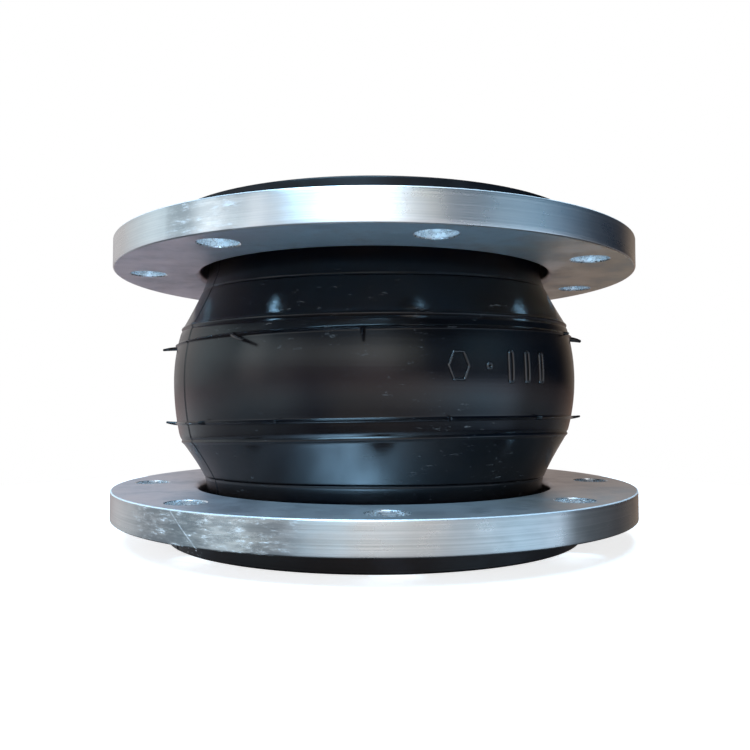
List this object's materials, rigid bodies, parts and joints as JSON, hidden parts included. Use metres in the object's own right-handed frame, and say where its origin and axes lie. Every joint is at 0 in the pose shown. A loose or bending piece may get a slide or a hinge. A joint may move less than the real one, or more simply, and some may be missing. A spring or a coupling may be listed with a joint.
{
  "type": "rubber expansion joint",
  "caption": "Flanged single-sphere rubber expansion joint for pipework: layered rubber bellows held by wire beads between two floating steel flanges.",
  "frame": {"origin": "centre of the lower sealing face, on the pipe's axis", "axes": "+Z along the pipe from the lower to the upper sealing face; -Y is the front, with the lower flange's first bolt hole 2.5 degrees from it towards +X"},
  "size_m": [0.336, 0.336, 0.2],
  "materials": {
    "cover_rubber": "gloss",
    "lip_rubber": "satin",
    "liner_rubber": "satin",
    "filler_rubber": "matte",
    "nylon_cord": "matte",
    "bead_wire": "satin",
    "zinc_steel": "satin"
  },
  "bodies": {
    "lower_end": {"lower_sealing_lip": "lip_rubber", "lower_bead_ring": "bead_wire", "lower_bead_wrap": "nylon_cord", "lower_bead_filler": "filler_rubber"},
    "lower_half": {"inner_liner": "liner_rubber", "cord_ply_1": "nylon_cord", "cord_ply_2": "nylon_cord"},
    "upper_half": {"cord_ply_3": "nylon_cord", "cord_ply_4": "nylon_cord", "outer_cover": "cover_rubber"},
    "upper_end": {"upper_sealing_lip": "lip_rubber", "upper_bead_ring": "bead_wire", "upper_bead_wrap": "nylon_cord", "upper_bead_filler": "filler_rubber"},
    "lower_ring": {"lower_flange": "zinc_steel"},
    "upper_ring": {"upper_flange": "zinc_steel"}
  },
  "joints": [
    {"name": "lower_neck_tilt", "type": "hinge", "parent": "lower_end", "child": "lower_half", "pos_m": [0, 0, 0.05], "axis": [0, 1, 0], "range_deg": [-7.5, 7.5], "stiffness_Nm_per_rad": 1700},
    {"name": "axial_travel", "type": "slide", "parent": "lower_half", "child": "upper_half", "axis": [0, 0, 1], "range_m": [-0.025, 0.016], "stiffness_N_per_m": 200000, "deforming": ["inner_liner", "cord_ply_1", "cord_ply_2", "cord_ply_3", "cord_ply_4", "outer_cover"]},
    {"name": "upper_neck_tilt", "type": "hinge", "parent": "upper_half", "child": "upper_end", "pos_m": [0, 0, 0.15], "axis": [0, 1, 0], "range_deg": [-7.5, 7.5], "stiffness_Nm_per_rad": 1700},
    {"name": "lower_flange_swivel", "type": "hinge", "parent": "lower_end", "child": "lower_ring", "pos_m": [0, 0, 0.02375], "axis": [0, 0, 1], "continuous": true},
    {"name": "upper_flange_swivel", "type": "hinge", "parent": "upper_end", "child": "upper_ring", "pos_m": [0, 0, 0.17625], "axis": [0, 0, 1], "continuous": true}
  ]
}
